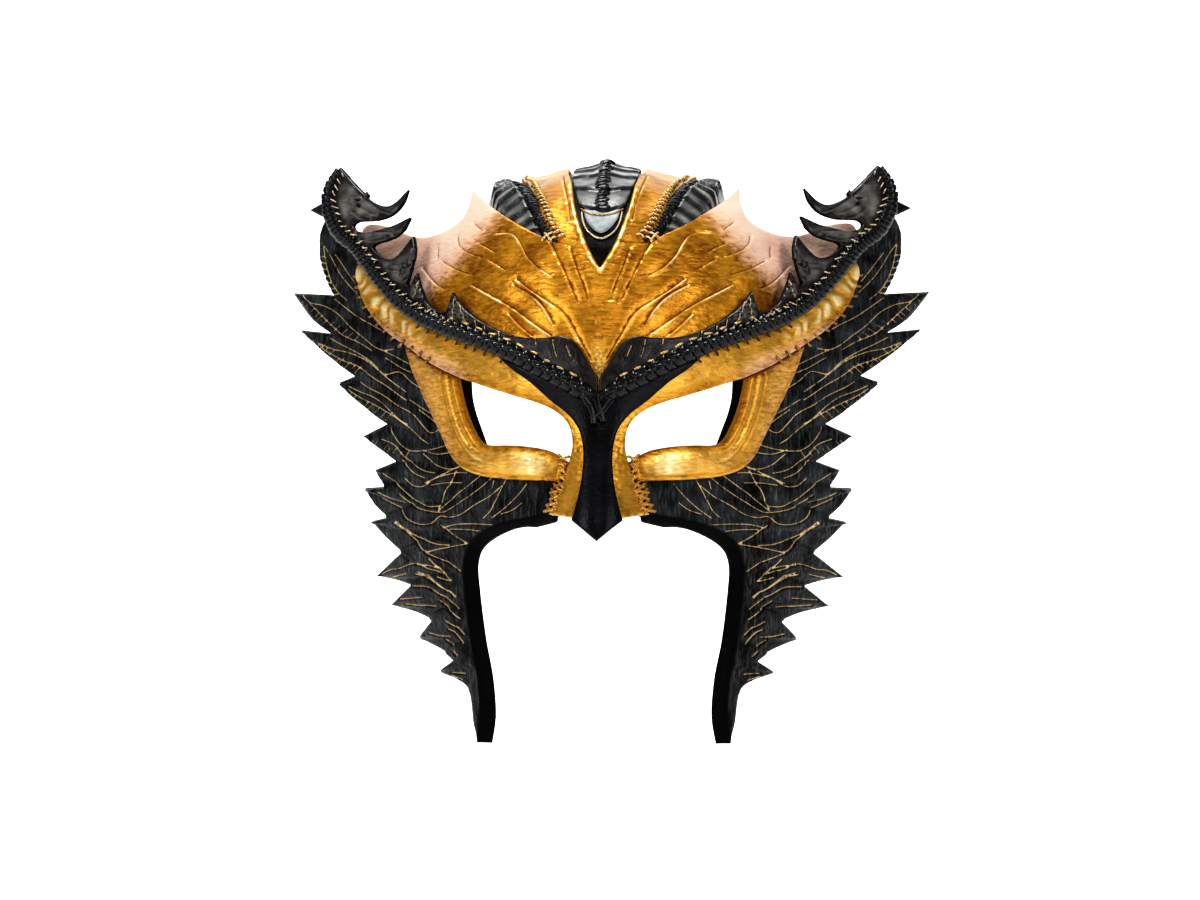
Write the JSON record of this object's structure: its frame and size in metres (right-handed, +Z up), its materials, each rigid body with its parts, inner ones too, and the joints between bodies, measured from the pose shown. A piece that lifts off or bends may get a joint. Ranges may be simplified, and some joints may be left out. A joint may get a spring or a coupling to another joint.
{
  "type": "leather bird mask",
  "caption": "Moulded leather half mask of a bird of prey, with a gold forehead, black spined brows ending in horns, a nose beak and feathered cheek wings, open at eyes and mouth.",
  "frame": {"origin": "bridge of the nose on the inside of the mask, midway between the eyes, where the mask sits on the face", "axes": "+Z up as worn, the face looks along -Y, +X to the viewer's right, symmetric about the plane X = 0"},
  "size_m": [0.2626, 0.1434, 0.2313],
  "materials": {
    "gold_leather": "gold paint over tan leather",
    "black_leather": "black dye, satin",
    "grey_leather": "grey paint, satin"
  },
  "bodies": {
    "root": {"forehead_plate": "gold_leather", "crown_strip": "black_leather", "crown_crest": "black_leather", "crown_scale": "grey_leather", "crown_side_left": "black_leather", "crown_side_right": "black_leather", "brow_left": "black_leather", "brow_right": "black_leather", "beak": "black_leather", "eyelid_left": "gold_leather", "eyelid_right": "gold_leather", "eye_frame_left": "gold_leather", "eye_frame_right": "gold_leather", "wing_left": "black_leather", "wing_right": "black_leather"}
  },
  "joints": []
}
